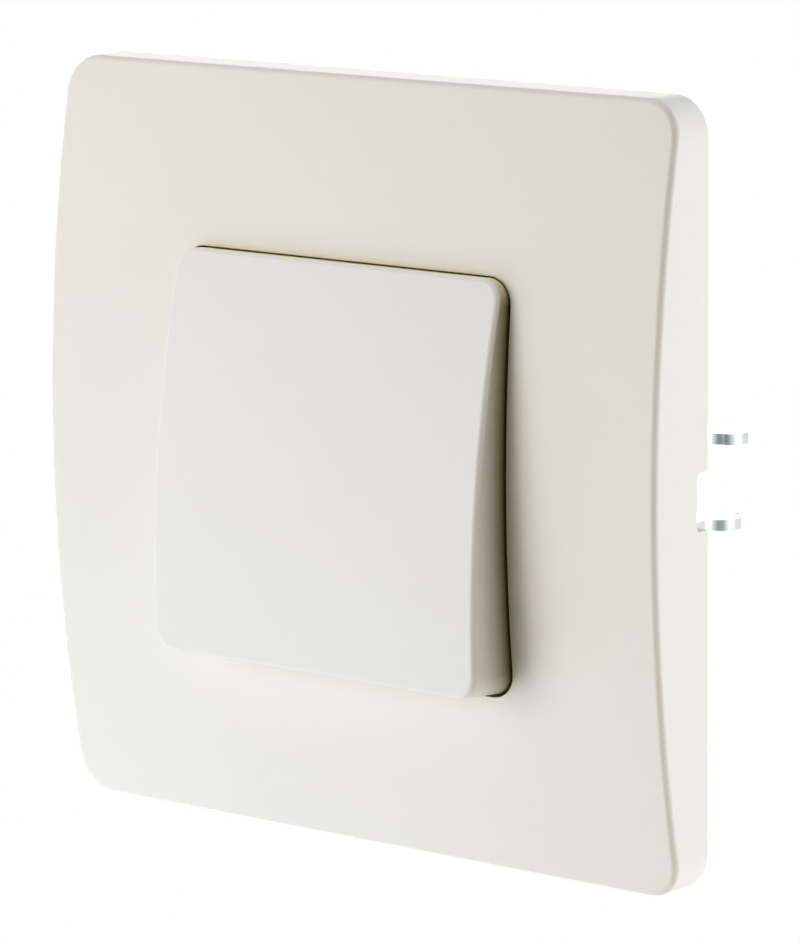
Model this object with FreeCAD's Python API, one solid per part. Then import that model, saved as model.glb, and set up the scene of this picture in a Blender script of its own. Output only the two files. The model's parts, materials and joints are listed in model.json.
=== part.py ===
import FreeCAD, Part
import math
import os

# Push button light switch: a hinged key in a crowned cover plate, with its
# mechanism and the claws that hold it in a round wall box.
# X is right, Y goes back into the wall and Z is up. The wall plane is y = 0,
# and the origin is the centre of the cover plate's back. Millimetres.

Vec = FreeCAD.Vector

# Clearances
SLIDE_CLEARANCE = 0.1
PIN_CLEARANCE = 0.05
SEAT_GAP = 0.05
SNAP_GAP = 0.15

# Cover plate
PLATE_WIDTH = 85.0
PLATE_HEIGHT = 85.0
PLATE_CROWN = 9.35
PLATE_EDGE = 4.85
PLATE_CORNER = 4.2
PLATE_WALL = 2.0
PLATE_FRONT_FILLET = 0.7
APERTURE_WIDTH = 46.0
APERTURE_HEIGHT = 45.6
APERTURE_CORNER = 3.0
COLLAR_WALL = 1.4
COLLAR_BACK = -5.0
NOTCH_HEIGHT = 6.3
NOTCH_DEPTH = 1.95
NOTCH_CORNER = 0.6

# Push key
KEY_SIDE_GAP = 0.4
KEY_TOP_GAP = 0.4
KEY_BOTTOM_GAP = 0.4
KEY_CORNER = 2.6
KEY_WALL = 1.6
KEY_FRONT_FILLET = 0.55
KEY_RADIUS = 139.0
KEY_APEX_Y = -14.65
KEY_APEX_Z = -15.0
SKIRT_TOP_Y = -5.4
SKIRT_BOTTOM_Y = -7.1
PIVOT_Y = -6.2
PIVOT_Z = 17.6
PIN_RADIUS = 1.5
LUG_X = 11.0
LUG_THICKNESS = 2.0
LUG_HALF = 2.2
LUG_CHAMFER = 1.0
KEY_RIB = 1.2
KEY_RIB_DEPTH = 2.2
KEY_SWING_DEG = 5.5

# Mechanism housing
HOUSING_SIZE = 39.0
HOUSING_CORNER = 2.0
HOUSING_WALL = 1.5
HOUSING_FRONT_Y = -3.7
FLANGE_THICKNESS = 0.7
FLANGE_OVERHANG = 1.7
EAR_THICKNESS = 2.4
EAR_RADIUS = 2.6
EAR_GAP = 0.4
EAR_MOUTH = 2.4
GUIDE_WALL = 1.2
GUIDE_BACK = -0.9
SNAP_WIDTH = 8.0
SNAP_REACH = 0.9
SNAP_RAMP = 2.2
LATCH_WIDTH = 6.0
LATCH_LENGTH = 2.5
LATCH_SETBACK = 6.5

# Support frame
FRAME_SIZE = 71.0
FRAME_CORNER = 6.0
FRAME_THICKNESS = 2.0
FRAME_RIM = 1.4
FRAME_RIM_HEIGHT = 1.0
FRAME_LEDGE = 1.0
FIXING_CENTRES = 60.0
FIXING_WIDTH = 4.0
FIXING_LENGTH = 7.0

# Clips of the cover plate on the support frame
CLIP_X = 16.0
CLIP_Z = 29.0
CLIP_WIDTH = 5.0
CLIP_THICKNESS = 1.4
CLIP_NOSE = 0.9
CLIP_SIDE_GAP = 0.8

# Plunger and moving contact
PLUNGER_Z = -6.0
PLUNGER_RADIUS = 2.5
PLUNGER_FLANGE = 6.8
PLUNGER_FLANGE_THICKNESS = 1.2
PLUNGER_STEM = 2.4
PLUNGER_SEAT = 5.2
PLUNGER_SEAT_THICKNESS = 1.0
PLUNGER_TAIL_LENGTH = 5.4
KEY_POST_SIZE = 3.6
KEY_POST_BEVEL = 1.3
KEY_POST_TAPER = 0.5
BRIDGE_LENGTH = 16.4
BRIDGE_WIDTH = 4.0
BRIDGE_THICKNESS = 0.6
BRIDGE_CHAMFER = 0.8
TIP_X = 6.2
TIP_SIZE = 3.0
TIP_HEIGHT = 0.8
CONTACT_REST = 0.05
SPRING_MEAN = 2.1
RETURN_WIRE = 0.3
RETURN_TURNS = 5.0
CONTACT_WIRE = 0.25
CONTACT_SPRING_LENGTH = 2.6
CONTACT_TURNS = 2.0
WIRE_SIDES = 6
STEPS_PER_TURN = 12

# Terminal base, terminals and wire clamps
MECHANISM_DEPTH = 24.0
FLOOR_THICKNESS = 2.5
RIM_HEIGHT = 1.2
TONGUE_LENGTH = 8.0
SHELF_THICKNESS = 1.5
BOSS_LENGTH = 6.0
STRIP_THICKNESS = 0.8
STRIP_INNER_X = 4.4
CLAMP_SIDE_GAP = 2.3
CLAMP_WIDTH = 10.4
CLAMP_PLATE_Z = 6.0
WIRE_RADIUS = 1.4
WIRE_PITCH = 6.8
WIRE_GAP = 0.1
LEAF_THICKNESS = 0.5
LEAF_WIDTH = 7.0
LEAF_TOP_Z = 13.0
LEAF_LOOP_RADIUS = 2.0
LEAF_SETBACK = 4.3
LEAF_ANCHOR = 5.7
LEAF_BLADE = 4.7
LEAF_TIP_GAP = 0.4
TAB_WIDTH = 2.4
TAB_HEIGHT = 2.2
TAB_LEAF_GAP = 0.3
TAB_PROUD = 1.0
TAB_COLLAR = 0.6
TAB_COLLAR_THICKNESS = 0.8
TAB_TRAVEL = 1.6

# Claws and their screws
CLAW_Z = -2.3
CLAW_SHEET = 1.2
CLAW_CHEEK_PITCH = 9.6
CLAW_LEG = 7.4
CLAW_SLOPE_DEG = 25.0
CLAW_BEAD = 0.8
CLAW_NECK = 3.4
CLAW_OVERREACH = 0.2
CLAW_TOOTH_SETBACK = 5.1
CLAW_TIP_X = 32.5
CLAW_TIP_STEP = 0.9
CLAW_TIP_RADIUS = 1.8
CLAW_INSET = 0.7
SCREW_ARM = 3.8
SCREW_RADIUS = 1.5
SCREW_END_Y = 8.0
SCREW_HEAD_RADIUS = 2.8
SCREW_HEAD_HEIGHT = 1.7
SCREW_SLOT_WIDTH = 0.8
SCREW_SLOT_DEPTH = 0.9
POCKET_KEY_GAP = 0.5
POCKET_WIDTH = 9.6
POCKET_WALL = 1.2
POCKET_ROOF_Y = -2.8
POCKET_ROOF = 1.6
POCKET_SIDE_GAP = 0.7

# Sizes that follow from those above
FAR = PLATE_WIDTH + PLATE_HEIGHT
EDGE_DROP = PLATE_CROWN - PLATE_EDGE
PLATE_RADIUS = ((PLATE_HEIGHT / 2) ** 2 + EDGE_DROP ** 2) / (2 * EDGE_DROP)
KEY_WIDTH = APERTURE_WIDTH - 2 * KEY_SIDE_GAP
KEY_TOP = APERTURE_HEIGHT / 2 - KEY_TOP_GAP
KEY_BOTTOM = KEY_BOTTOM_GAP - APERTURE_HEIGHT / 2
KEY_HEIGHT = KEY_TOP - KEY_BOTTOM
KEY_MIDDLE = (KEY_TOP + KEY_BOTTOM) / 2
PRESS_ARM = PIVOT_Z - PLUNGER_Z
PRESS_TRAVEL = PRESS_ARM * math.radians(KEY_SWING_DEG)
FRAME_FRONT_Y = -FRAME_THICKNESS
FLOOR_BACK_Y = MECHANISM_DEPTH
FLOOR_FRONT_Y = FLOOR_BACK_Y - FLOOR_THICKNESS
LATCH_FRONT_Y = FLOOR_FRONT_Y - LATCH_SETBACK
LEAF_LOOP_Y = FLOOR_FRONT_Y - LEAF_SETBACK
LEAF_FRONT_Y = LEAF_LOOP_Y - LEAF_ANCHOR
LEAF_TIP_Y = LEAF_LOOP_Y - LEAF_BLADE
TAB_FRONT_Y = LEAF_LOOP_Y + TAB_LEAF_GAP
CLAW_BACK_Y = MECHANISM_DEPTH + CLAW_OVERREACH
CLAW_TOOTH_FRONT_Y = CLAW_BACK_Y - CLAW_TOOTH_SETBACK
FLANGE_FRONT_Y = FRAME_FRONT_Y - FLANGE_THICKNESS
HOUSING_HALF = HOUSING_SIZE / 2
HOUSING_INSIDE = HOUSING_HALF - HOUSING_WALL
FRAME_OPENING = HOUSING_SIZE + 2 * SNAP_GAP
EAR_X = LUG_X + LUG_THICKNESS + EAR_GAP
PLUNGER_HEAD_Y = PIVOT_Y + SLIDE_CLEARANCE
PLUNGER_FLANGE_Y = GUIDE_BACK + SLIDE_CLEARANCE
PLUNGER_BODY_Y = PLUNGER_FLANGE_Y + PLUNGER_FLANGE_THICKNESS
BRIDGE_Y = PLUNGER_BODY_Y + CONTACT_SPRING_LENGTH
PLUNGER_SEAT_Y = BRIDGE_Y + BRIDGE_THICKNESS
PLUNGER_TAIL_Y = PLUNGER_SEAT_Y + PLUNGER_SEAT_THICKNESS
FIXED_TIP_Y = BRIDGE_Y + BRIDGE_THICKNESS + TIP_HEIGHT + PRESS_TRAVEL + CONTACT_REST
STRIP_Y = FIXED_TIP_Y + TIP_HEIGHT
STRIP_BACK_Y = STRIP_Y + STRIP_THICKNESS
WIRE_Z = CLAMP_PLATE_Z + WIRE_GAP + WIRE_RADIUS
CLAMP_OUTER_X = HOUSING_INSIDE - CLAMP_SIDE_GAP
CLAMP_INNER_X = CLAMP_OUTER_X - CLAMP_WIDTH
CLAMP_X = (CLAMP_INNER_X + CLAMP_OUTER_X) / 2
LEAF_LOOP_Z = LEAF_TOP_Z - LEAF_LOOP_RADIUS
TAB_COLLAR_Y = FLOOR_FRONT_Y - SLIDE_CLEARANCE - TAB_COLLAR_THICKNESS
CLAMP_PLATE_END_Y = TAB_COLLAR_Y - TAB_TRAVEL - SLIDE_CLEARANCE
POCKET_INNER_X = KEY_WIDTH / 2 + POCKET_KEY_GAP + POCKET_WALL
CLAW_PIVOT_X = POCKET_INNER_X + SLIDE_CLEARANCE + CLAW_BEAD
CLAW_PIVOT_Y = POCKET_ROOF_Y + SLIDE_CLEARANCE + CLAW_BEAD
CLAW_INNER_X = CLAW_PIVOT_X + CLAW_INSET
SCREW_X = CLAW_PIVOT_X + SCREW_ARM
CLAW_HALF = (CLAW_CHEEK_PITCH + CLAW_SHEET) / 2
SCREW_SEAT_Y = POCKET_ROOF_Y - POCKET_ROOF


def block(x, y, z):
    """A box that fills three ranges."""
    return Part.makeBox(x[1] - x[0], y[1] - y[0], z[1] - z[0], Vec(x[0], y[0], z[0]))


def about(middle, width):
    """The range of a width about its middle."""
    return (middle - width / 2, middle + width / 2)


def rod(radius, start, end):
    """A cylinder from one point to another."""
    return Part.makeCylinder(radius, (end - start).Length, start, end - start)


def rod_y(radius, x, z, y_front, y_back):
    """A cylinder along Y."""
    return rod(radius, Vec(x, y_front, z), Vec(x, y_back, z))


def rounded_prism(width, height, radius, y_front, y_back, middle_z=0.0):
    """A prism along Y whose section is a rectangle with round corners."""
    solid = block(about(0, width), (y_front, y_back), about(middle_z, height))
    corners = [edge for edge in solid.Edges if edge.BoundBox.YLength > 0.9 * (y_back - y_front)]
    return solid.makeFillet(radius, corners)


def slot_prism(width, length, x, z, y_front, y_back):
    """A prism along Y with round ends, long in Z."""
    reach = (length - width) / 2
    solid = block(about(x, width), (y_front, y_back), about(z, 2 * reach))
    for end in (z - reach, z + reach):
        solid = solid.fuse(rod_y(width / 2, x, end, y_front, y_back))
    return solid.removeSplitter()


def prism_x(points, x_start, x_end):
    """A prism along X over an outline of (y, z) points."""
    corners = [Vec(x_start, y, z) for y, z in points]
    face = Part.Face(Part.makePolygon(corners + corners[:1]))
    return face.extrude(Vec(x_end - x_start, 0, 0))


def barrel(radius, apex_y, apex_z):
    """A long cylinder along X with its foremost line at the apex."""
    start = Vec(-FAR / 2, apex_y + radius, apex_z)
    return Part.makeCylinder(radius, FAR, start, Vec(1, 0, 0))


def round_front(solid, radius):
    """Fillets the rim of a crowned front, while the solid still reaches y = 0."""
    rim = [edge for edge in solid.Edges if edge.BoundBox.YMax < -PLATE_EDGE / 2]
    return solid.makeFillet(radius, rim)


def at_rest(shape):
    """Tilts what is square with the plate when pressed to where the key stands at rest."""
    tilted = shape.copy()
    tilted.rotate(Vec(0, PIVOT_Y, PIVOT_Z), Vec(1, 0, 0), -KEY_SWING_DEG)
    return tilted


def half_turn(shape):
    """The same shape turned half round about Y, which swaps right for left."""
    turned = shape.copy()
    turned.rotate(Vec(0, 0, 0), Vec(0, 1, 0), 180)
    return turned


def left_of(shape):
    """The mirror image on the left."""
    return shape.mirror(Vec(0, 0, 0), Vec(1, 0, 0))


def joined(first, others):
    """One solid from touching ones."""
    return first.fuse(others).removeSplitter()


def coil(mean_radius, wire_radius, turns, y_front, y_back):
    """A compression spring on the plunger's axis, of a faceted wire in short straight steps."""
    first_y = y_front + wire_radius
    rise = y_back - wire_radius - first_y
    steps = round(turns * STEPS_PER_TURN)
    sections = []
    for step in range(steps + 1):
        angle = 2 * math.pi * turns * step / steps
        outward = Vec(math.cos(angle), 0, math.sin(angle))
        middle = Vec(0, first_y + rise * step / steps, PLUNGER_Z) + outward * mean_radius
        corners = []
        for side in range(WIRE_SIDES):
            turn = 2 * math.pi * side / WIRE_SIDES
            across = outward * (wire_radius * math.cos(turn))
            corners.append(middle + across + Vec(0, wire_radius * math.sin(turn), 0))
        sections.append(Part.makePolygon(corners + corners[:1]))
    return Part.makeLoft(sections, True, True)


def plate_clip(side_x, side_z):
    """A springy leg behind the cover plate that hooks over the frame's ledge."""
    x = about(side_x * CLIP_X, CLIP_WIDTH)
    back = -SLIDE_CLEARANCE
    nose_front = -FRAME_LEDGE + SEAT_GAP
    outer = CLIP_Z + CLIP_THICKNESS
    points = [(-PLATE_CROWN, CLIP_Z), (-PLATE_CROWN, outer), (nose_front, outer),
              (nose_front, outer + CLIP_NOSE), (back, outer), (back, CLIP_Z)]
    return prism_x([(y, side_z * z) for y, z in points], x[0], x[1])


def cover_plate():
    """The crowned plate with its aperture, collar, clips and pry notch."""
    outside = rounded_prism(PLATE_WIDTH, PLATE_HEIGHT, PLATE_CORNER, -2 * PLATE_CROWN, 0)
    outside = outside.common(barrel(PLATE_RADIUS, -PLATE_CROWN, 0))
    outside = round_front(outside, PLATE_FRONT_FILLET)
    inner_width = PLATE_WIDTH - 2 * PLATE_WALL
    inner_height = PLATE_HEIGHT - 2 * PLATE_WALL
    hollow = rounded_prism(inner_width, inner_height, PLATE_CORNER - PLATE_WALL, -2 * PLATE_CROWN, 0)
    inner_barrel = barrel(PLATE_RADIUS - PLATE_WALL, PLATE_WALL - PLATE_CROWN, 0)
    hollow = hollow.common(inner_barrel)
    plate = outside.cut(hollow)
    collar = rounded_prism(APERTURE_WIDTH + 2 * COLLAR_WALL, APERTURE_HEIGHT + 2 * COLLAR_WALL,
                           APERTURE_CORNER + COLLAR_WALL, -2 * PLATE_CROWN, COLLAR_BACK)
    skin_middle = barrel(PLATE_RADIUS - PLATE_WALL / 2, PLATE_WALL / 2 - PLATE_CROWN, 0)
    additions = [collar.common(skin_middle)]
    for side_x in (-1, 1):
        for side_z in (-1, 1):
            additions.append(plate_clip(side_x, side_z).common(skin_middle))
    plate = joined(plate, additions)
    plate = plate.cut(rounded_prism(APERTURE_WIDTH, APERTURE_HEIGHT, APERTURE_CORNER, -FAR, 0))
    notch = block((PLATE_WIDTH / 2 - 2 * PLATE_WALL, FAR), (-NOTCH_DEPTH, FAR), about(0, NOTCH_HEIGHT))
    notch_corners = [edge for edge in notch.Edges
                     if edge.BoundBox.YMax < 0 and edge.BoundBox.XLength > PLATE_WALL]
    return plate.cut(notch.makeFillet(NOTCH_CORNER, notch_corners))


def tapered_bar(y_front, y_end, z, height, taper, bevel, x_left, x_right):
    """A bar that reaches back to y_end, where its upper and lower edges are bevelled."""
    low, high = about(z, height)
    outline = [(y_front, low), (y_end - taper, low), (y_end, low + bevel),
               (y_end, high - bevel), (y_end - taper, high), (y_front, high)]
    return prism_x(outline, x_left, x_right)


def push_key():
    """The crowned key, proud at the bottom, with its trunnions and its post for the plunger."""
    front = 2 * KEY_APEX_Y
    key = at_rest(rounded_prism(KEY_WIDTH, KEY_HEIGHT, KEY_CORNER, front, PLATE_CROWN, KEY_MIDDLE))
    key = key.common(barrel(KEY_RADIUS, KEY_APEX_Y, KEY_APEX_Z))
    key = round_front(key, KEY_FRONT_FILLET)
    hollow = at_rest(rounded_prism(KEY_WIDTH - 2 * KEY_WALL, KEY_HEIGHT - 2 * KEY_WALL,
                                   KEY_CORNER - KEY_WALL, front, PLATE_CROWN, KEY_MIDDLE))
    key = key.cut(hollow.common(barrel(KEY_RADIUS - KEY_WALL, KEY_APEX_Y + KEY_WALL, KEY_APEX_Z)))
    slope = (SKIRT_TOP_Y - SKIRT_BOTTOM_Y) / KEY_HEIGHT
    over = slope * KEY_WALL
    trim = [(SKIRT_TOP_Y + over, KEY_TOP + KEY_WALL), (FAR, KEY_TOP + KEY_WALL),
            (FAR, KEY_BOTTOM - KEY_WALL), (SKIRT_BOTTOM_Y - over, KEY_BOTTOM - KEY_WALL)]
    key = key.cut(prism_x(trim, -FAR / 2, FAR / 2))
    skin_middle = barrel(KEY_RADIUS - KEY_WALL / 2, KEY_APEX_Y + KEY_WALL / 2, KEY_APEX_Z)
    additions = []
    lug_end = (PIVOT_Y + LUG_HALF, PIVOT_Z, 2 * LUG_HALF, LUG_CHAMFER, LUG_CHAMFER)
    for side in (-1, 1):
        lug_x = sorted((side * LUG_X, side * (LUG_X + LUG_THICKNESS)))
        additions.append(tapered_bar(front, *lug_end, *lug_x).common(skin_middle))
        pin_end = side * (EAR_X + EAR_THICKNESS - EAR_GAP)
        pin_start = Vec(side * LUG_X, PIVOT_Y, PIVOT_Z)
        additions.append(rod(PIN_RADIUS, pin_start, Vec(pin_end, PIVOT_Y, PIVOT_Z)))
    post_end = (PIVOT_Y, PLUNGER_Z, KEY_POST_SIZE, KEY_POST_TAPER, KEY_POST_BEVEL)
    additions.append(tapered_bar(front, *post_end, *about(0, KEY_POST_SIZE)).common(skin_middle))
    rib_depth = KEY_WALL + KEY_RIB_DEPTH
    rib_front = barrel(KEY_RADIUS - rib_depth, KEY_APEX_Y + rib_depth, KEY_APEX_Z)
    upright = block(about(0, KEY_RIB), (front, 0), (KEY_BOTTOM + KEY_WALL / 2, KEY_TOP - KEY_WALL / 2))
    cross = block(about(0, KEY_WIDTH - KEY_WALL), (front, 0), about(PLUNGER_Z, KEY_RIB))
    for rib in (upright, cross):
        additions.append(at_rest(rib).common(skin_middle).cut(rib_front))
    return joined(key, additions)


def housing_ear(side):
    """A snap-in bearing for one of the key's trunnions."""
    x = sorted((side * EAR_X, side * (EAR_X + EAR_THICKNESS)))
    ear = block(x, (PIVOT_Y, HOUSING_FRONT_Y), about(PIVOT_Z, 2 * EAR_RADIUS))
    ear = ear.common(block(x, (PIVOT_Y, FAR), (-FAR, HOUSING_HALF)))
    ear = joined(ear, [rod(EAR_RADIUS, Vec(x[0], PIVOT_Y, PIVOT_Z), Vec(x[1], PIVOT_Y, PIVOT_Z))])
    bore = rod(PIN_RADIUS + PIN_CLEARANCE, Vec(x[0], PIVOT_Y, PIVOT_Z), Vec(x[1], PIVOT_Y, PIVOT_Z))
    mouth = block(x, (-FAR, PIVOT_Y), about(PIVOT_Z, EAR_MOUTH))
    return ear.cut(bore).cut(mouth)


def frame_snap(side):
    """A ramped lug that holds the housing against the frame's ledge."""
    front = -FRAME_LEDGE + SEAT_GAP
    wall = HOUSING_HALF - HOUSING_WALL / 2
    nose = HOUSING_HALF + SNAP_REACH
    points = [(front, wall), (front, nose), (-SLIDE_CLEARANCE, nose),
              (SNAP_RAMP, HOUSING_HALF), (SNAP_RAMP, wall)]
    return prism_x([(y, side * z) for y, z in points], -SNAP_WIDTH / 2, SNAP_WIDTH / 2)


def mechanism_housing():
    """The box that holds the contacts, with the key's bearings and the plunger's guide."""
    box = rounded_prism(HOUSING_SIZE, HOUSING_SIZE, HOUSING_CORNER, HOUSING_FRONT_Y, FLOOR_FRONT_Y)
    inside = 2 * HOUSING_INSIDE
    hollow = rounded_prism(inside, inside, HOUSING_CORNER / 2, HOUSING_FRONT_Y + HOUSING_WALL, FLOOR_FRONT_Y)
    box = box.cut(hollow)
    flange_size = HOUSING_SIZE + 2 * FLANGE_OVERHANG
    flange = rounded_prism(flange_size, flange_size, HOUSING_CORNER, FLANGE_FRONT_Y, FRAME_FRONT_Y)
    additions = [flange.cut(hollow)]
    guide_bore = PLUNGER_RADIUS + SLIDE_CLEARANCE
    additions.append(rod_y(guide_bore + GUIDE_WALL, 0, PLUNGER_Z, HOUSING_FRONT_Y, GUIDE_BACK))
    for side in (-1, 1):
        additions.append(housing_ear(side))
        additions.append(frame_snap(side))
    box = joined(box, additions)
    box = box.cut(rod_y(guide_bore, 0, PLUNGER_Z, -FAR, GUIDE_BACK))
    latch_y = (LATCH_FRONT_Y, LATCH_FRONT_Y + LATCH_LENGTH)
    return box.cut(block((-FAR, FAR), latch_y, about(0, LATCH_WIDTH)))


def claw_pocket():
    """The raised seat of the right claw on the frame, and the pocket behind it."""
    length = 2 * (CLAW_HALF + POCKET_SIDE_GAP)
    pocket_x = (POCKET_INNER_X, POCKET_INNER_X + POCKET_WIDTH)
    seat_x = (pocket_x[0] - POCKET_WALL, pocket_x[1] + POCKET_WALL)
    seat = block(seat_x, (SCREW_SEAT_Y, 0), about(CLAW_Z, length + 2 * POCKET_WALL))
    corners = [edge for edge in seat.Edges if edge.BoundBox.YLength > POCKET_ROOF]
    seat = seat.makeFillet(POCKET_WALL, corners)
    pocket = block(pocket_x, (POCKET_ROOF_Y, FAR), about(CLAW_Z, length))
    hole = rod_y(SCREW_RADIUS + PIN_CLEARANCE, SCREW_X, CLAW_Z, -FAR, 0)
    return seat, pocket.fuse(hole)


def support_frame():
    """The moulded frame that carries the mechanism, the claws and the cover plate."""
    frame = rounded_prism(FRAME_SIZE, FRAME_SIZE, FRAME_CORNER, FRAME_FRONT_Y, 0)
    rim_front = FRAME_FRONT_Y - FRAME_RIM_HEIGHT
    rim = rounded_prism(FRAME_SIZE, FRAME_SIZE, FRAME_CORNER, rim_front, FRAME_FRONT_Y)
    inner = FRAME_SIZE - 2 * FRAME_RIM
    rim = rim.cut(rounded_prism(inner, inner, FRAME_CORNER - FRAME_RIM, rim_front, FRAME_FRONT_Y))
    seat, pocket = claw_pocket()
    additions = [rim, seat, half_turn(seat)]
    cuts = [pocket, half_turn(pocket), block(about(0, FRAME_OPENING), (-FAR, FAR), about(0, FRAME_OPENING))]
    for side in (-1, 1):
        z = side * FIXING_CENTRES / 2
        cuts.append(slot_prism(FIXING_WIDTH, FIXING_LENGTH, 0, z, -FAR, FAR))
        snap_z = sorted((0, side * (HOUSING_HALF + SNAP_REACH + SNAP_GAP)))
        cuts.append(block(about(0, SNAP_WIDTH + 2 * SNAP_GAP), (-FRAME_LEDGE, FAR), snap_z))
        for side_x in (-1, 1):
            x = about(side_x * CLIP_X, CLIP_WIDTH + 2 * CLIP_SIDE_GAP)
            inner_z = side * (CLIP_Z - CLIP_SIDE_GAP)
            nose_z = side * (CLIP_Z + CLIP_THICKNESS + CLIP_NOSE + SNAP_GAP)
            leg_z = side * (CLIP_Z + CLIP_THICKNESS + SNAP_GAP)
            cuts.append(block(x, (-FAR, FAR), sorted((inner_z, leg_z))))
            cuts.append(block(x, (-FRAME_LEDGE, FAR), sorted((inner_z, nose_z))))
    return joined(frame, additions).cut(cuts)


def stem_block(width, y_front, y_back):
    """A square block on the plunger's axis."""
    return block(about(0, width), (y_front, y_back), about(PLUNGER_Z, width))


def plunger():
    """The moulding that the key pushes to close the contacts."""
    head = rod_y(PLUNGER_RADIUS, 0, PLUNGER_Z, PLUNGER_HEAD_Y, PLUNGER_FLANGE_Y)
    flange = stem_block(PLUNGER_FLANGE, PLUNGER_FLANGE_Y, PLUNGER_BODY_Y)
    body = stem_block(PLUNGER_STEM, PLUNGER_BODY_Y, PLUNGER_SEAT_Y)
    seat = stem_block(PLUNGER_SEAT, PLUNGER_SEAT_Y, PLUNGER_TAIL_Y)
    tail = stem_block(PLUNGER_STEM, PLUNGER_TAIL_Y, PLUNGER_TAIL_Y + PLUNGER_TAIL_LENGTH)
    return joined(head, [flange, body, seat, tail])


def return_spring():
    """The spring that pushes the plunger and the key back."""
    return coil(SPRING_MEAN, RETURN_WIRE, RETURN_TURNS, PLUNGER_TAIL_Y + SEAT_GAP, FLOOR_FRONT_Y - SEAT_GAP)


def contact_spring():
    """The spring that presses the bridge on its shoulder of the plunger."""
    return coil(SPRING_MEAN, CONTACT_WIRE, CONTACT_TURNS, PLUNGER_BODY_Y + SEAT_GAP, BRIDGE_Y - SEAT_GAP)


def contact_bridge():
    """The strip that joins the two fixed contacts when the key is pressed."""
    bridge = block(about(0, BRIDGE_LENGTH), (BRIDGE_Y, PLUNGER_SEAT_Y), about(PLUNGER_Z, BRIDGE_WIDTH))
    corners = [edge for edge in bridge.Edges if edge.BoundBox.YLength > BRIDGE_THICKNESS / 2]
    bridge = bridge.makeChamfer(BRIDGE_CHAMFER, corners)
    return bridge.cut(stem_block(PLUNGER_STEM + 2 * PIN_CLEARANCE, BRIDGE_Y, PLUNGER_SEAT_Y))


def contact_tip(x, y_front, y_back):
    """A square silver contact, brazed on its strip."""
    return block(about(x, TIP_SIZE), (y_front, y_back), about(PLUNGER_Z, TIP_SIZE))


def bridge_contacts():
    """The two contacts on the back of the bridge."""
    back = PLUNGER_SEAT_Y + TIP_HEIGHT
    return Part.makeCompound([contact_tip(side * TIP_X, PLUNGER_SEAT_Y, back) for side in (-1, 1)])


def fixed_contact():
    """The contact on the right terminal strip."""
    return contact_tip(TIP_X, FIXED_TIP_Y, STRIP_Y)


def terminal_strip():
    """The right brass strip, from its contact up to the plate that the wires are pressed on."""
    arm_z = about(PLUNGER_Z, BRIDGE_WIDTH)
    arm = block((STRIP_INNER_X, CLAMP_OUTER_X), (STRIP_Y, STRIP_BACK_Y), arm_z)
    riser_x = (CLAMP_INNER_X + TIP_SIZE / 2, CLAMP_OUTER_X)
    riser = block(riser_x, (STRIP_Y, STRIP_BACK_Y), (arm_z[0], CLAMP_PLATE_Z))
    plate_z = (CLAMP_PLATE_Z - STRIP_THICKNESS, CLAMP_PLATE_Z)
    plate = block((CLAMP_INNER_X, CLAMP_OUTER_X), (STRIP_Y, CLAMP_PLATE_END_Y), plate_z)
    return joined(arm, [riser, plate])


def clamp_spring():
    """The right leaf spring: an anchored leg, a loop and the blade that holds the wires."""
    half = LEAF_THICKNESS / 2
    x = CLAMP_X - LEAF_WIDTH / 2
    tip_z = CLAMP_PLATE_Z + LEAF_TIP_GAP
    low_z = LEAF_LOOP_Z - LEAF_LOOP_RADIUS
    slope = math.atan2(low_z - tip_z, LEAF_LOOP_Y - LEAF_TIP_Y)
    normal_y = -half * math.sin(slope)
    normal_z = half * math.cos(slope)

    def point(y, z):
        return Vec(x, y, z)

    def loop(radius):
        return Part.Arc(point(LEAF_LOOP_Y, LEAF_LOOP_Z + radius), point(LEAF_LOOP_Y + radius, LEAF_LOOP_Z),
                        point(LEAF_LOOP_Y, LEAF_LOOP_Z - radius)).toShape()

    outer = LEAF_LOOP_RADIUS + half
    inner = LEAF_LOOP_RADIUS - half
    tip_low = point(LEAF_TIP_Y - normal_y, tip_z - normal_z + half)
    tip_high = point(LEAF_TIP_Y + normal_y, tip_z + normal_z + half)
    lines = [(point(LEAF_FRONT_Y, LEAF_TOP_Z + half), point(LEAF_LOOP_Y, LEAF_LOOP_Z + outer)),
             (point(LEAF_LOOP_Y, LEAF_LOOP_Z - outer), tip_low),
             (tip_low, tip_high),
             (tip_high, point(LEAF_LOOP_Y, LEAF_LOOP_Z - inner)),
             (point(LEAF_LOOP_Y, LEAF_LOOP_Z + inner), point(LEAF_FRONT_Y, LEAF_TOP_Z - half)),
             (point(LEAF_FRONT_Y, LEAF_TOP_Z - half), point(LEAF_FRONT_Y, LEAF_TOP_Z + half))]
    edges = [Part.LineSegment(start, end).toShape() for start, end in lines] + [loop(outer), loop(inner)]
    outline = Part.Wire(Part.__sortEdges__(edges))
    return Part.Face(outline).extrude(Vec(LEAF_WIDTH, 0, 0))


def release_tab():
    """The right push tab that lifts the blade off the wires."""
    back = FLOOR_BACK_Y + TAB_PROUD
    body = block(about(CLAMP_X, TAB_WIDTH), (TAB_FRONT_Y, back), about(WIRE_Z, TAB_HEIGHT))
    collar_y = (TAB_COLLAR_Y, TAB_COLLAR_Y + TAB_COLLAR_THICKNESS)
    collar = block(about(CLAMP_X, TAB_WIDTH), collar_y, about(WIRE_Z, TAB_HEIGHT + 2 * TAB_COLLAR))
    return joined(body, [collar])


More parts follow.
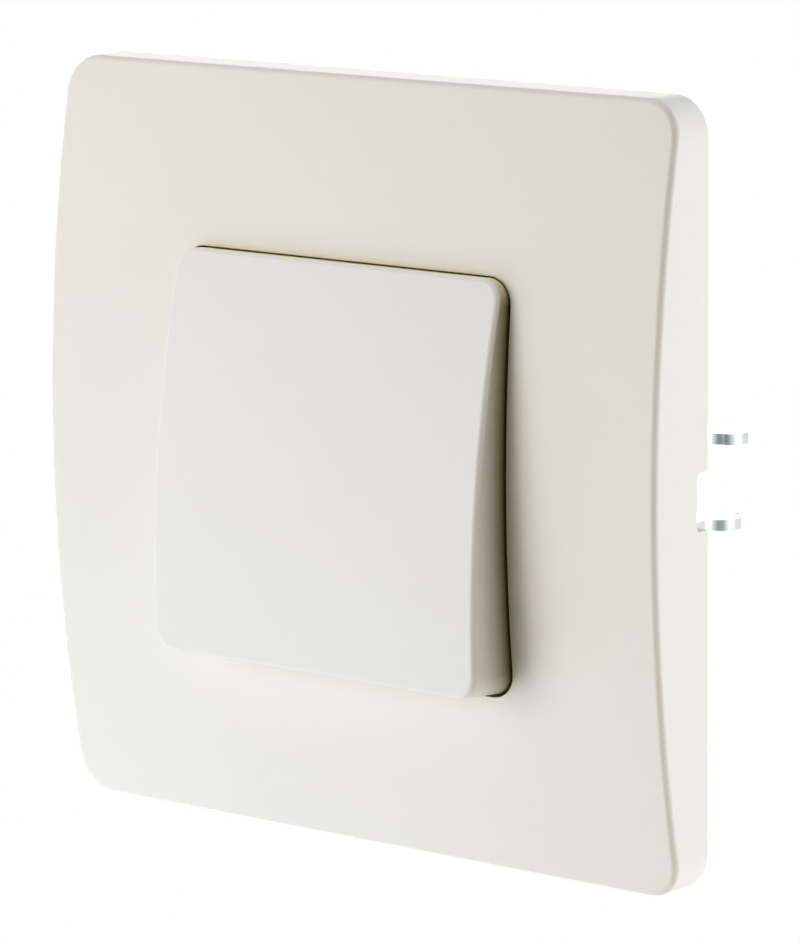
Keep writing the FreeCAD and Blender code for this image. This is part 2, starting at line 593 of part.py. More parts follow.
def terminal_base():
    """The rear moulding: wire entries, shelves, contact posts and the tongues that latch it."""
    floor = rounded_prism(HOUSING_SIZE, HOUSING_SIZE, HOUSING_CORNER, FLOOR_FRONT_Y, FLOOR_BACK_Y)
    plug = 2 * (HOUSING_INSIDE - SLIDE_CLEARANCE)
    rim_front = FLOOR_FRONT_Y - RIM_HEIGHT
    rim = rounded_prism(plug, plug, HOUSING_CORNER / 2, rim_front, FLOOR_FRONT_Y)
    opening = plug - 2 * HOUSING_WALL
    rim = rim.cut(block(about(0, opening), (rim_front, FLOOR_FRONT_Y), about(0, opening)))
    additions = [rim, stem_block(PLUNGER_STEM, FLOOR_FRONT_Y - BOSS_LENGTH, FLOOR_FRONT_Y)]
    cuts = []
    for side in (-1, 1):
        shelf_x = sorted((side * CLAMP_INNER_X, side * CLAMP_OUTER_X))
        low = CLAMP_PLATE_Z - STRIP_THICKNESS
        high = LEAF_TOP_Z + LEAF_THICKNESS / 2 + SEAT_GAP
        additions.append(block(shelf_x, (STRIP_BACK_Y, FLOOR_FRONT_Y), (low - SHELF_THICKNESS, low)))
        additions.append(block(shelf_x, (LEAF_FRONT_Y, FLOOR_FRONT_Y), (high, high + SHELF_THICKNESS)))
        post_x = sorted((side * STRIP_INNER_X, side * (TIP_X + TIP_SIZE / 2)))
        additions.append(block(post_x, (STRIP_BACK_Y, FLOOR_FRONT_Y), about(PLUNGER_Z, BRIDGE_WIDTH)))
        tongue_outer = HOUSING_INSIDE - SLIDE_CLEARANCE
        tongue_x = sorted((side * tongue_outer, side * (tongue_outer - HOUSING_WALL)))
        tongue_z = about(0, LATCH_WIDTH - 2 * SNAP_GAP)
        additions.append(block(tongue_x, (FLOOR_FRONT_Y - TONGUE_LENGTH, FLOOR_FRONT_Y), tongue_z))
        nub_y = (LATCH_FRONT_Y + SNAP_GAP, LATCH_FRONT_Y + LATCH_LENGTH - SEAT_GAP)
        nub_x = sorted((side * (tongue_outer - HOUSING_WALL), side * (HOUSING_INSIDE + HOUSING_WALL / 2)))
        additions.append(block(nub_x, nub_y, tongue_z))
        tab_x = about(side * CLAMP_X, TAB_WIDTH + 2 * SLIDE_CLEARANCE)
        tab_z = about(WIRE_Z, TAB_HEIGHT + 2 * SLIDE_CLEARANCE)
        cuts.append(block(tab_x, (FLOOR_FRONT_Y, FLOOR_BACK_Y), tab_z))
        for end in (-1, 1):
            wire_x = side * CLAMP_X + end * WIRE_PITCH / 2
            cuts.append(rod_y(WIRE_RADIUS, wire_x, WIRE_Z, FLOOR_FRONT_Y, FLOOR_BACK_Y))
    return joined(floor, additions).cut(cuts)


def claw_leg_point(along):
    """A point on the middle of the right claw's leg, at rest."""
    slope = math.radians(CLAW_SLOPE_DEG)
    return Vec(CLAW_PIVOT_X + along * math.cos(slope), CLAW_PIVOT_Y + along * math.sin(slope), 0)


def claw_cheek(tip_x):
    """One folded cheek of the right claw, with its round tooth."""
    start = claw_leg_point(CLAW_BEAD)
    shoulder = claw_leg_point(CLAW_LEG)
    neck_outer = Vec(CLAW_INNER_X + CLAW_NECK, CLAW_TOOTH_FRONT_Y - CLAW_TIP_RADIUS, 0)
    tooth_start = Vec(neck_outer.x + CLAW_TIP_RADIUS, CLAW_TOOTH_FRONT_Y, 0)
    turn = CLAW_TIP_RADIUS * (1 - math.sqrt(0.5))
    fillet_mid = Vec(neck_outer.x + turn, CLAW_TOOTH_FRONT_Y - turn, 0)
    tip_middle_y = CLAW_TOOTH_FRONT_Y + CLAW_TIP_RADIUS
    tip_start = Vec(tip_x - CLAW_TIP_RADIUS, CLAW_TOOTH_FRONT_Y, 0)
    tip = Vec(tip_x, tip_middle_y, 0)
    tip_end = Vec(tip_x - CLAW_TIP_RADIUS, tip_middle_y + CLAW_TIP_RADIUS, 0)
    back_outer = Vec(CLAW_INNER_X + CLAW_NECK, CLAW_BACK_Y, 0)
    back_inner = Vec(CLAW_INNER_X, CLAW_BACK_Y, 0)
    edges = [Part.LineSegment(start, shoulder).toShape(),
             Part.LineSegment(shoulder, neck_outer).toShape(),
             Part.Arc(neck_outer, fillet_mid, tooth_start).toShape(),
             Part.LineSegment(tooth_start, tip_start).toShape(),
             Part.Arc(tip_start, tip, tip_end).toShape(),
             Part.LineSegment(tip_end, back_outer).toShape(),
             Part.LineSegment(back_outer, back_inner).toShape(),
             Part.LineSegment(back_inner, start).toShape()]
    return Part.Face(Part.Wire(edges)).extrude(Vec(0, 0, CLAW_SHEET))


def claw():
    """The right claw: a sheet folded to a U, hung in the frame's pocket on a rolled bead."""
    leg = block((0, CLAW_LEG), about(0, CLAW_SHEET), about(0, 2 * CLAW_HALF))
    slope = math.radians(CLAW_SLOPE_DEG)
    slot_middle = SCREW_ARM / 2 * (1 + 1 / math.cos(slope))
    slot_reach = SCREW_RADIUS / math.cos(slope) + CLAW_SHEET * math.tan(slope)
    slot_half_width = SCREW_RADIUS + SLIDE_CLEARANCE
    slot = block(about(slot_middle, 2 * slot_reach), about(0, 2 * CLAW_SHEET), about(0, 2 * slot_half_width))
    leg = joined(leg.cut(slot), [rod(CLAW_BEAD, Vec(0, 0, -CLAW_HALF), Vec(0, 0, CLAW_HALF))])
    leg.rotate(Vec(0, 0, 0), Vec(0, 0, 1), CLAW_SLOPE_DEG)
    leg.translate(Vec(CLAW_PIVOT_X, CLAW_PIVOT_Y, 0))
    cheeks = []
    for side, tip_x in ((-1, CLAW_TIP_X - CLAW_TIP_STEP), (1, CLAW_TIP_X)):
        cheek = claw_cheek(tip_x)
        cheek.translate(Vec(0, 0, side * CLAW_CHEEK_PITCH / 2 - CLAW_SHEET / 2))
        cheeks.append(cheek)
    folded = joined(leg, cheeks)
    folded.translate(Vec(0, 0, CLAW_Z))
    return folded


def claw_screw():
    """The right claw's screw, with a slot in its head."""
    head_back = SCREW_SEAT_Y - SEAT_GAP
    head_front = head_back - SCREW_HEAD_HEIGHT
    head = rod_y(SCREW_HEAD_RADIUS, SCREW_X, CLAW_Z, head_front, head_back)
    screw = joined(head, [rod_y(SCREW_RADIUS, SCREW_X, CLAW_Z, head_back, SCREW_END_Y)])
    slot_y = (head_front, head_front + SCREW_SLOT_DEPTH)
    return screw.cut(block(about(SCREW_X, FAR), slot_y, about(CLAW_Z, SCREW_SLOT_WIDTH)))


def pieces():
    """Every piece by name."""
    shapes = {
        "cover_plate": cover_plate(),
        "push_key": push_key(),
        "support_frame": support_frame(),
        "mechanism_housing": mechanism_housing(),
        "terminal_base": terminal_base(),
        "plunger": plunger(),
        "return_spring": return_spring(),
        "contact_spring": contact_spring(),
        "contact_bridge": contact_bridge(),
        "bridge_contacts": bridge_contacts(),
    }
    for name, make in (("fixed_contact", fixed_contact), ("terminal_strip", terminal_strip),
                       ("clamp_spring", clamp_spring), ("release_tab", release_tab)):
        shapes[name + "_right"] = make()
        shapes[name + "_left"] = left_of(shapes[name + "_right"])
    for name, make in (("claw", claw), ("claw_screw", claw_screw)):
        shapes[name + "_right"] = make()
        shapes[name + "_left"] = half_turn(shapes[name + "_right"])
    return shapes


os.makedirs("parts", exist_ok=True)
for piece_name, piece_shape in pieces().items():
    print(piece_name, piece_shape.isValid(), len(piece_shape.Solids), round(piece_shape.Volume, 2))
    piece_shape.exportStep("parts/" + piece_name + ".step")
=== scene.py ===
import bmesh
import bpy
import json
import math
from mathutils import Matrix, Vector


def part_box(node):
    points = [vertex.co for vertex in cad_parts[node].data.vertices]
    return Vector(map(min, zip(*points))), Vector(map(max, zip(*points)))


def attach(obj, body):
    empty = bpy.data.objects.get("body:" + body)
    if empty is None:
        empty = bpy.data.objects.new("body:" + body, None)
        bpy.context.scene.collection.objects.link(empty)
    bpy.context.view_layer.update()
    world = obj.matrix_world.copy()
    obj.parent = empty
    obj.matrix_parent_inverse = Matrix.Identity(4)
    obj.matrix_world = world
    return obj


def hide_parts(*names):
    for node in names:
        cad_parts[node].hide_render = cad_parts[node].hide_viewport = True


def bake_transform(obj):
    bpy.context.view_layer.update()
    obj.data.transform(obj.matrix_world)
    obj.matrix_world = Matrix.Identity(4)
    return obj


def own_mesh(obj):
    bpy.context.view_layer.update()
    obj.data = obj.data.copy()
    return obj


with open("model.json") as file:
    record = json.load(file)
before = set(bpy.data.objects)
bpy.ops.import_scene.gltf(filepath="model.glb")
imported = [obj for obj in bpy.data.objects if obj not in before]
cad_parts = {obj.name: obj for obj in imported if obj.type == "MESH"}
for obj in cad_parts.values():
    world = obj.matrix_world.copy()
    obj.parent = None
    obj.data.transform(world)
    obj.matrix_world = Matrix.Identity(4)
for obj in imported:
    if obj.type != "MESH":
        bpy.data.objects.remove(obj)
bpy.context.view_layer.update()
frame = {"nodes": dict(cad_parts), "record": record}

# Push button light switch. X is right, Y goes back into the wall, Z is up, in metres.

MM = 0.001

# Camera, at the photograph's viewpoint
CAMERA_AIM = Vector((0.78, 0.26, -1.54)) * MM
CAMERA_DISTANCE = 0.5729
CAMERA_AZIMUTH_DEG = 39.07
CAMERA_RISE_DEG = 10.51
CAMERA_ROLL_DEG = -0.54
CAMERA_LENS_MM = 199.04
CAMERA_SENSOR_MM = 36.0

# Studio: where each softbox stands, how wide it is, its power in watts and its colour
SOFTBOXES = {
    "high_left_softbox": ((-0.4, -0.55, 0.13), 0.4, 1.93, (1.0, 0.98, 0.945)),
    "low_left_card": ((-0.26, -0.2, -0.17), 0.25, 0.56, (0.57, 0.775, 1.0)),
    "low_front_card": ((-0.22, -0.6, -0.14), 0.3, 1.15, (1.0, 0.95, 0.86)),
    "top_softbox": ((-0.1, -0.12, 0.9), 0.5, 4.35, (0.87, 0.925, 1.0)),
    "right_softbox": ((1.0, -0.1, -0.35), 0.4, 3.3, (1.0, 0.93, 0.76)),
    "rear_right_softbox": ((1.0, 0.7, 0.1), 0.8, 14.8, (0.83, 0.9, 1.0)),
    "rear_left_softbox": ((-0.9, 0.9, 0.35), 0.8, 3.6, (1.0, 0.97, 0.93)),
}
# Kept out of reflections, where it would burn out the claws
UNREFLECTED = ("rear_right_softbox",)
FLOOR_Z = -0.35
FLOOR_HALF = 0.7
FLOOR_COLOUR = (0.86, 0.86, 0.85)
FLOOR_ROUGHNESS = 0.8
FLOOR_GLOW = 0.8

# Finishes: linear colour, drifted colour, mean roughness and its spread
PLASTICS = {
    "plate_plastic": ((0.816, 0.77, 0.70), (0.801, 0.753, 0.676), 0.44, 0.06),
    "key_plastic": ((0.812, 0.778, 0.734), (0.797, 0.76, 0.709), 0.42, 0.06),
    "frame_plastic": ((0.63, 0.63, 0.61), (0.59, 0.59, 0.57), 0.55, 0.10),
    "housing_plastic": ((0.70, 0.70, 0.67), (0.66, 0.655, 0.625), 0.52, 0.10),
    "base_plastic": ((0.40, 0.41, 0.42), (0.365, 0.375, 0.385), 0.55, 0.10),
    "plunger_plastic": ((0.74, 0.72, 0.66), (0.70, 0.68, 0.62), 0.45, 0.08),
    "tab_plastic": ((0.115, 0.12, 0.125), (0.095, 0.10, 0.105), 0.48, 0.08),
}
METALS = {
    "spring_steel": ((0.58, 0.58, 0.58), (0.44, 0.44, 0.45), 0.24, 0.12),
    "contact_brass": ((0.78, 0.57, 0.27), (0.66, 0.45, 0.19), 0.28, 0.14),
    "contact_silver": ((0.88, 0.87, 0.84), (0.72, 0.70, 0.65), 0.26, 0.14),
    "claw_zinc": ((0.70, 0.75, 0.75), (0.54, 0.63, 0.64), 0.38, 0.12),
    "screw_zinc": ((0.76, 0.80, 0.81), (0.56, 0.65, 0.67), 0.22, 0.12),
}
FRONT_SHINE = 0.3
PLASTIC_IOR = 1.5
GAP_ROUGHNESS = 0.95
GAP_SAMPLES = 16
# Painted shade on a gap's walls that face up, lighter and warmer than on the other walls, as if lit from
# above
LEDGE_PAINTED_SHADE = (0.88, 0.76, 0.38)
# Painted shade in gaps, warm and dark: how far a gap's walls count, the openness that is fully shaded, the
# openness that isn't, and the shade colour painted there
GAP_PAINTED_SHADE = {
    "plate_plastic": (5.0 * MM, 0.15, 0.8, (0.52, 0.42, 0.11)),
    "key_plastic": (8.0 * MM, 0.5, 0.86, (0.11, 0.085, 0.015)),
}
GRAIN_SIZE = 0.35 * MM
GRAIN_DETAIL = 2.0
GRAIN_DEPTH = 0.004 * MM
DRIFT_SIZE = 22.0 * MM
DRIFT_DETAIL = 3.0
SCRATCH_WIDTH = 0.12 * MM
SCRATCH_STRETCH = 14.0
SCRATCH_DETAIL = 2.0
SCRATCH_DEPTH = 0.003 * MM
CLOUD_SIZE = 3.0 * MM
CLOUD_DETAIL = 4.0
CLOUD_EDGES = (0.35, 0.65)

# Screws
SCREW_HEAD_RADIUS = 2.8 * MM
SCREW_HEAD_LENGTH = 1.7 * MM
SCREW_SLOT_WIDTH = 0.8 * MM
SCREW_SLOT_DEPTH = 0.9 * MM
SHANK_RADIUS = 1.5 * MM
THREAD_PITCH = 0.5 * MM
THREAD_DEPTH = 0.3 * MM
THREAD_STEPS = 6
TIP_LENGTH = 0.5 * MM
HEAD_ROUNDING = 0.5 * MM
HEAD_STEPS = 6
SCREW_SIDES = 48

# Coil springs
WIRE_SEGMENTS = 12
COIL_SEGMENTS = 40
RETURN_WIRE = 0.3 * MM
RETURN_TURNS = 5
CONTACT_WIRE = 0.25 * MM
CONTACT_TURNS = 2


def socket(group, name, direction, kind):
    """Adds a named socket to a node group."""
    return group.interface.new_socket(name=name, in_out=direction, socket_type=kind)


def mix(nodes, links, kind, factor, first, second):
    """Mixes two values or linear colours by a factor of 0 to 1; each end is a constant or a link."""
    node = nodes.new("ShaderNodeMix")
    node.data_type = kind
    links.new(factor, node.inputs["Factor"])
    for name, end in (("A", first), ("B", second)):
        if hasattr(end, "node"):
            links.new(end, node.inputs[name])
        else:
            node.inputs[name].default_value = (*end, 1.0) if kind == "RGBA" else end
    return node.outputs["Result"]


def noise(nodes, links, vector, size, detail):
    """Noise whose blobs are about one size across, in metres."""
    node = nodes.new("ShaderNodeTexNoise")
    node.inputs["Scale"].default_value = 1.0 / size
    node.inputs["Detail"].default_value = detail
    links.new(vector, node.inputs["Vector"])
    return node.outputs["Fac"]


def moulded_grain_group():
    """The spark-eroded grain of a mould, with a slow drift of tone over the surface."""
    group = bpy.data.node_groups.new("moulded_grain", "ShaderNodeTree")
    socket(group, "Rough Low", "INPUT", "NodeSocketFloat")
    socket(group, "Rough High", "INPUT", "NodeSocketFloat")
    socket(group, "Drift", "OUTPUT", "NodeSocketFloat")
    socket(group, "Roughness", "OUTPUT", "NodeSocketFloat")
    socket(group, "Height", "OUTPUT", "NodeSocketFloat")
    nodes, links = group.nodes, group.links
    entry = nodes.new("NodeGroupInput")
    leave = nodes.new("NodeGroupOutput")
    place = nodes.new("ShaderNodeTexCoord").outputs["Object"]
    drift = noise(nodes, links, place, DRIFT_SIZE, DRIFT_DETAIL)
    grain = noise(nodes, links, place, GRAIN_SIZE, GRAIN_DETAIL)
    links.new(drift, leave.inputs["Drift"])
    rough = mix(nodes, links, "FLOAT", grain, entry.outputs["Rough Low"], entry.outputs["Rough High"])
    links.new(rough, leave.inputs["Roughness"])
    links.new(grain, leave.inputs["Height"])
    return group


def drawn_metal_group():
    """Fine drawing lines along one axis and soft clouds of plating."""
    group = bpy.data.node_groups.new("drawn_metal", "ShaderNodeTree")
    socket(group, "Rough Low", "INPUT", "NodeSocketFloat")
    socket(group, "Rough High", "INPUT", "NodeSocketFloat")
    socket(group, "Cloud", "OUTPUT", "NodeSocketFloat")
    socket(group, "Roughness", "OUTPUT", "NodeSocketFloat")
    socket(group, "Height", "OUTPUT", "NodeSocketFloat")
    nodes, links = group.nodes, group.links
    entry = nodes.new("NodeGroupInput")
    leave = nodes.new("NodeGroupOutput")
    place = nodes.new("ShaderNodeTexCoord").outputs["Object"]
    stretch = nodes.new("ShaderNodeMapping")
    stretch.inputs["Scale"].default_value = (1.0, 1.0 / SCRATCH_STRETCH, 1.0)
    links.new(place, stretch.inputs["Vector"])
    lines = noise(nodes, links, stretch.outputs["Vector"], SCRATCH_WIDTH, SCRATCH_DETAIL)
    clouds = noise(nodes, links, place, CLOUD_SIZE, CLOUD_DETAIL)
    sharpen = nodes.new("ShaderNodeMapRange")
    sharpen.inputs["From Min"].default_value = CLOUD_EDGES[0]
    sharpen.inputs["From Max"].default_value = CLOUD_EDGES[1]
    links.new(clouds, sharpen.inputs["Value"])
    links.new(sharpen.outputs["Result"], leave.inputs["Cloud"])
    rough = mix(nodes, links, "FLOAT", lines, entry.outputs["Rough Low"], entry.outputs["Rough High"])
    links.new(rough, leave.inputs["Roughness"])
    links.new(lines, leave.inputs["Height"])
    return group


def painted_shade_mask_group():
    """Where shade is painted: 1 in narrow gaps, where light reaches the eye only through and between walls,
    and 0 in the open.
    """
    group = bpy.data.node_groups.new("painted_shade_mask", "ShaderNodeTree")
    socket(group, "Reach", "INPUT", "NodeSocketFloat")
    socket(group, "Shut", "INPUT", "NodeSocketFloat")
    socket(group, "Open", "INPUT", "NodeSocketFloat")
    socket(group, "Gap", "OUTPUT", "NodeSocketFloat")
    nodes, links = group.nodes, group.links
    entry = nodes.new("NodeGroupInput")
    leave = nodes.new("NodeGroupOutput")
    around = nodes.new("ShaderNodeAmbientOcclusion")
    around.samples = GAP_SAMPLES
    links.new(entry.outputs["Reach"], around.inputs["Distance"])
    spread = nodes.new("ShaderNodeMapRange")
    links.new(entry.outputs["Open"], spread.inputs["From Min"])
    links.new(entry.outputs["Shut"], spread.inputs["From Max"])
    links.new(around.outputs["AO"], spread.inputs["Value"])
    links.new(spread.outputs["Result"], leave.inputs["Gap"])
    return group


def paint_gap_shade(material, shader, group, reach, shut, open_level, tint):
    """Paints warm shade into a plastic's colour in its gaps, lighter on the walls that face up, and dulls the
    plastic there.
    """
    nodes, links = material.node_tree.nodes, material.node_tree.links
    mask = nodes.new("ShaderNodeGroup")
    mask.node_tree = group
    mask.inputs["Reach"].default_value = reach
    mask.inputs["Shut"].default_value = shut
    mask.inputs["Open"].default_value = open_level
    facing = nodes.new("ShaderNodeSeparateXYZ")
    links.new(nodes.new("ShaderNodeNewGeometry").outputs["Normal"], facing.inputs["Vector"])
    # painted shade, lighter on gap walls that face up and darker on those that face sideways or down
    painted_gap_shade = mix(nodes, links, "RGBA", facing.outputs["Z"], tint, LEDGE_PAINTED_SHADE)
    open_tone = shader.inputs["Base Color"].links[0].from_socket
    # painted shade: the gap's shade colour takes the place of the plastic's own colour where the mask is 1
    tone = mix(nodes, links, "RGBA", mask.outputs["Gap"], open_tone, painted_gap_shade)
    links.new(tone, shader.inputs["Base Color"])
    open_rough = shader.inputs["Roughness"].links[0].from_socket
    rough = mix(nodes, links, "FLOAT", mask.outputs["Gap"], open_rough, GAP_ROUGHNESS)
    links.new(rough, shader.inputs["Roughness"])
    shader.inputs["Specular IOR Level"].default_value = FRONT_SHINE


def new_material(name, group, mask, colours, rough, spread, depth):
    """A material whose colour, roughness and bump come from one of the groups."""
    material = bpy.data.materials.new(name)
    material.use_nodes = True
    nodes, links = material.node_tree.nodes, material.node_tree.links
    shader = nodes["Principled BSDF"]
    effect = nodes.new("ShaderNodeGroup")
    effect.node_tree = group
    effect.inputs["Rough Low"].default_value = rough - spread
    effect.inputs["Rough High"].default_value = rough + spread
    tone = mix(nodes, links, "RGBA", effect.outputs[mask], *colours)
    links.new(tone, shader.inputs["Base Color"])
    links.new(effect.outputs["Roughness"], shader.inputs["Roughness"])
    bump = nodes.new("ShaderNodeBump")
    bump.inputs["Distance"].default_value = depth
    links.new(effect.outputs["Height"], bump.inputs["Height"])
    links.new(bump.outputs["Normal"], shader.inputs["Normal"])
    return material, shader


def finishes():
    """One material for each slot of the record."""
    grain = moulded_grain_group()
    drawn = drawn_metal_group()
    gaps = painted_shade_mask_group()
    made = {}
    for name, (base, drifted, rough, spread) in PLASTICS.items():
        made[name], shader = new_material(name, grain, "Drift", (base, drifted), rough, spread, GRAIN_DEPTH)
        shader.inputs["IOR"].default_value = PLASTIC_IOR
        # The plate and key get painted shade in their gaps
        if name in GAP_PAINTED_SHADE:
            paint_gap_shade(made[name], shader, gaps, *GAP_PAINTED_SHADE[name])
    for name, (base, cloudy, rough, spread) in METALS.items():
        made[name], shader = new_material(name, drawn, "Cloud", (base, cloudy), rough, spread, SCRATCH_DEPTH)
        shader.inputs["Metallic"].default_value = 1.0
    return made


def dress_nodes(frame, materials):
    """Gives every carried-over piece its finish."""
    for entry in frame["record"]["subparts"]:
        node = frame["nodes"][entry["node"]]
        for slot in node.material_slots:
            slot.material = materials[entry["material_slot"]]


def new_piece(name, mesh, body, node, slot_name, materials):
    """A shaded piece that stands for a node and rides on its body."""
    piece = bpy.data.objects.new(name, mesh)
    bpy.context.scene.collection.objects.link(piece)
    mesh.materials.append(materials[slot_name])
    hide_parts(node)
    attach(piece, body)
    return piece


def coil_mesh(name, centre, mean_radius, wire_radius, turns, y_front, y_back):
    """A round wire wound about the Y axis, with its ends closed by caps."""
    mesh = bpy.data.meshes.new(name)
    shape = bmesh.new()
    steps = turns * COIL_SEGMENTS
    rise = y_back - y_front - 2 * wire_radius
    rings = []
    for step in range(steps + 1):
        angle = 2 * math.pi * step / COIL_SEGMENTS
        outward = Vector((math.cos(angle), 0, math.sin(angle)))
        middle = Vector((centre[0], y_front + wire_radius + rise * step / steps, centre[1]))
        middle += outward * mean_radius
        ring = []
        for side in range(WIRE_SEGMENTS):
            turn = 2 * math.pi * side / WIRE_SEGMENTS
            offset = outward * math.cos(turn) + Vector((0, math.sin(turn), 0))
            ring.append(shape.verts.new(middle + offset * wire_radius))
        rings.append(ring)
    for first, second in zip(rings, rings[1:]):
        for side in range(WIRE_SEGMENTS):
            after = (side + 1) % WIRE_SEGMENTS
            shape.faces.new((first[side], first[after], second[after], second[side]))
    shape.faces.new(rings[0][::-1])
    shape.faces.new(rings[-1])
    bmesh.ops.recalc_face_normals(shape, faces=shape.faces)
    for face in shape.faces:
        face.smooth = len(face.verts) == 4
    shape.to_mesh(mesh)
    shape.free()
    return mesh


def dress_springs(materials):
    """Round wire coils in place of the faceted ones."""
    for node, wire, turns, body in (("return_spring", RETURN_WIRE, RETURN_TURNS, "root"),
                                    ("contact_spring", CONTACT_WIRE, CONTACT_TURNS, "plunger")):
        low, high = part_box(node)
        mean_radius = (high.x - low.x) / 2 - wire
        centre = ((low.x + high.x) / 2, (low.z + high.z) / 2)
        mesh = coil_mesh(node + "_coil", centre, mean_radius, wire, turns, low.y, high.y)
        piece = new_piece(node + "_coil", mesh, body, node, "spring_steel", materials)
        if node == "return_spring":
            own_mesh(piece)


def dress_clamps(frame, materials):
    """Copies of the leaf springs in spring steel, in place of the clamp springs."""
    for side in ("right", "left"):
        node = "clamp_spring_" + side
        leaf = bpy.data.objects.new(node + "_leaf", frame["nodes"][node].data.copy())
        bpy.context.scene.collection.objects.link(leaf)
        leaf.matrix_world = frame["nodes"][node].matrix_world
        leaf.data.materials.clear()
        leaf.data.materials.append(materials["spring_steel"])
        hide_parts(node)
        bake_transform(leaf)


def turned_mesh(name, centre, rows):
    """A closed skin about a screw's axis; each row gives y and the radius for a turn of 0 to 1."""
    mesh = bpy.data.meshes.new(name)
    shape = bmesh.new()
    rings = []
    for y, radius_at in rows:
        ring = []
        for side in range(SCREW_SIDES):
            turn = side / SCREW_SIDES
            outward = Vector((math.cos(2 * math.pi * turn), 0, math.sin(2 * math.pi * turn)))
            ring.append(shape.verts.new(Vector((centre[0], y, centre[1])) + outward * radius_at(turn)))
        rings.append(ring)
    for first, second in zip(rings, rings[1:]):
        for side in range(SCREW_SIDES):
            after = (side + 1) % SCREW_SIDES
            shape.faces.new((first[side], first[after], second[after], second[side])).smooth = True
    shape.faces.new(rings[0])
    shape.faces.new(rings[-1])
    bmesh.ops.recalc_face_normals(shape, faces=shape.faces)
    shape.to_mesh(mesh)
    shape.free()
    return mesh


def screw_head_rows(front):
    """A pan head whose front rim is rounded."""
    rows = []
    for step in range(HEAD_STEPS + 1):
        turn = math.pi / 2 * step / HEAD_STEPS
        radius = SCREW_HEAD_RADIUS - HEAD_ROUNDING * (1 - math.sin(turn))
        rows.append((front + HEAD_ROUNDING * (1 - math.cos(turn)), lambda turn, radius=radius: radius))
    rows.append((front + SCREW_HEAD_LENGTH, lambda turn: SCREW_HEAD_RADIUS))
    return rows


def screw_shank_rows(start, end):
    """A right-hand vee thread that fades into a pointed end."""
    rows = []
    steps = round((end - start) / THREAD_PITCH) * THREAD_STEPS
    for step in range(steps + 1):
        y = start + (end - start) * step / steps
        fade = max(0.0, TIP_LENGTH - (end - y))

        def radius_at(turn, y=y, fade=fade):
            phase = (y / THREAD_PITCH + turn) % 1.0
            return SHANK_RADIUS - max(fade, THREAD_DEPTH * abs(2 * phase - 1))

        rows.append((y, radius_at))
    return rows


def slotted(head, centre, front):
    """The head's mesh after a slot has been cut across it."""
    scene = bpy.context.scene
    bpy.ops.mesh.primitive_cube_add(size=1.0, location=(centre[0], front, centre[1]))
    cutter = bpy.context.object
    cutter.scale = (3 * SCREW_HEAD_RADIUS, 2 * SCREW_SLOT_DEPTH, SCREW_SLOT_WIDTH)
    blank = bpy.data.objects.new("screw_blank", head)
    scene.collection.objects.link(blank)
    cut = blank.modifiers.new("slot", "BOOLEAN")
    cut.operation = "DIFFERENCE"
    cut.object = cutter
    mesh = bpy.data.meshes.new_from_object(blank.evaluated_get(bpy.context.evaluated_depsgraph_get()))
    for helper in (blank, cutter):
        bpy.data.objects.remove(helper)
    return mesh


def dress_screws(materials):
    """Threaded screws with slotted pan heads in place of the plain ones."""
    for side in ("right", "left"):
        node, body = "claw_screw_" + side, "screw_" + side
        low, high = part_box(node)
        centre = ((low.x + high.x) / 2, (low.z + high.z) / 2)
        head = turned_mesh(node + "_head", centre, screw_head_rows(low.y))
        new_piece(node + "_head", slotted(head, centre, low.y), body, node, "screw_zinc", materials)
        shank = turned_mesh(node + "_shank", centre, screw_shank_rows(low.y + SCREW_HEAD_LENGTH, high.y))
        new_piece(node + "_shank", shank, body, node, "screw_zinc", materials)


def softbox(name, place, width, power, colour):
    """A square area lamp that faces the object."""
    lamp = bpy.data.lights.new(name, "AREA")
    lamp.size = width
    lamp.energy = power
    lamp.color = colour
    box = bpy.data.objects.new(name, lamp)
    box.location = place
    box.rotation_euler = (-Vector(place)).to_track_quat("-Z", "Y").to_euler()
    box.visible_camera = False
    box.visible_glossy = name not in UNREFLECTED
    bpy.context.scene.collection.objects.link(box)


def seen_directly(nodes, links):
    """1 where a camera, mirror or clear path looks straight at a surface."""
    path = nodes.new("ShaderNodeLightPath")
    total = path.outputs["Is Camera Ray"]
    for name in ("Is Glossy Ray", "Is Transmission Ray"):
        add = nodes.new("ShaderNodeMath")
        add.operation = "MAXIMUM"
        links.new(total, add.inputs[0])
        links.new(path.outputs[name], add.inputs[1])
        total = add.outputs["Value"]
    return total


def studio_world():
    """A surround that is white to look at and gives the object no light of its own."""
    world = bpy.data.worlds.new("studio")
    bpy.context.scene.world = world
    world.use_nodes = True
    nodes, links = world.node_tree.nodes, world.node_tree.links
    surround = nodes["Background"]
    surround.inputs["Color"].default_value = (1.0, 1.0, 1.0, 1.0)
    links.new(seen_directly(nodes, links), surround.inputs["Strength"])


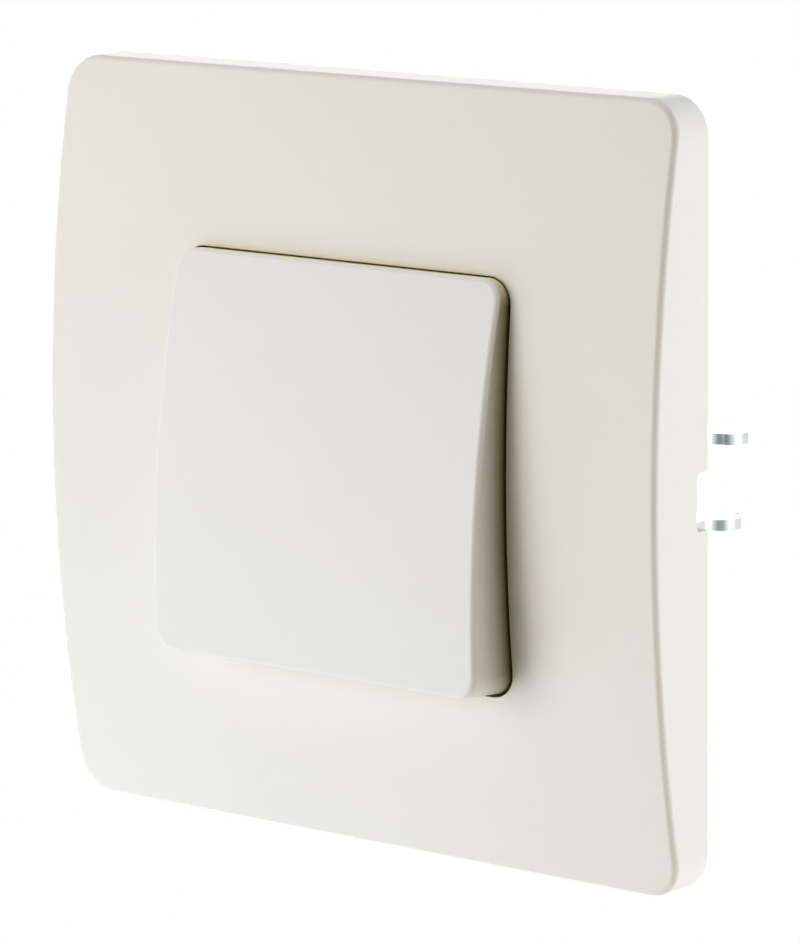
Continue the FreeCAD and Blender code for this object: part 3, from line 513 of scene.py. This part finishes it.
def studio_floor():
    """A pale floor well below the switch, lifted to white where it is looked at."""
    mesh = bpy.data.meshes.new("studio_floor")
    half = FLOOR_HALF
    corners = [(-half, -half, FLOOR_Z), (half, -half, FLOOR_Z), (half, half, FLOOR_Z), (-half, half, FLOOR_Z)]
    mesh.from_pydata(corners, [], [(0, 1, 2, 3)])
    floor = bpy.data.objects.new("studio_floor", mesh)
    bpy.context.scene.collection.objects.link(floor)
    material = bpy.data.materials.new("studio_floor")
    material.use_nodes = True
    nodes, links = material.node_tree.nodes, material.node_tree.links
    shader = nodes["Principled BSDF"]
    shader.inputs["Base Color"].default_value = (*FLOOR_COLOUR, 1.0)
    shader.inputs["Roughness"].default_value = FLOOR_ROUGHNESS
    glow = nodes.new("ShaderNodeEmission")
    lift = nodes.new("ShaderNodeMath")
    lift.operation = "MULTIPLY"
    lift.inputs[1].default_value = FLOOR_GLOW
    links.new(seen_directly(nodes, links), lift.inputs[0])
    links.new(lift.outputs["Value"], glow.inputs["Strength"])
    both = nodes.new("ShaderNodeAddShader")
    links.new(shader.outputs["BSDF"], both.inputs[0])
    links.new(glow.outputs["Emission"], both.inputs[1])
    links.new(both.outputs["Shader"], nodes["Material Output"].inputs["Surface"])
    mesh.materials.append(material)


def photo_camera():
    """The camera at the photograph's viewpoint."""
    camera = bpy.data.cameras.new("photo_camera")
    camera.lens = CAMERA_LENS_MM
    camera.sensor_width = CAMERA_SENSOR_MM
    holder = bpy.data.objects.new("photo_camera", camera)
    azimuth = math.radians(CAMERA_AZIMUTH_DEG)
    rise = math.radians(CAMERA_RISE_DEG)
    away = Vector((math.sin(azimuth) * math.cos(rise), -math.cos(azimuth) * math.cos(rise), math.sin(rise)))
    turn = Matrix.Rotation(azimuth, 4, "Z") @ Matrix.Rotation(math.pi / 2 - rise, 4, "X")
    turn = turn @ Matrix.Rotation(math.radians(CAMERA_ROLL_DEG), 4, "Z")
    holder.matrix_world = Matrix.Translation(CAMERA_AIM + away * CAMERA_DISTANCE) @ turn
    bpy.context.scene.collection.objects.link(holder)
    bpy.context.scene.camera = holder


bpy.context.scene.view_settings.view_transform = "Standard"
finish_by_slot = finishes()
dress_nodes(frame, finish_by_slot)
dress_springs(finish_by_slot)
dress_clamps(frame, finish_by_slot)
dress_screws(finish_by_slot)
studio_world()
studio_floor()
for box_name, (place, width, power, colour) in SOFTBOXES.items():
    softbox(box_name, place, width, power, colour)
photo_camera()
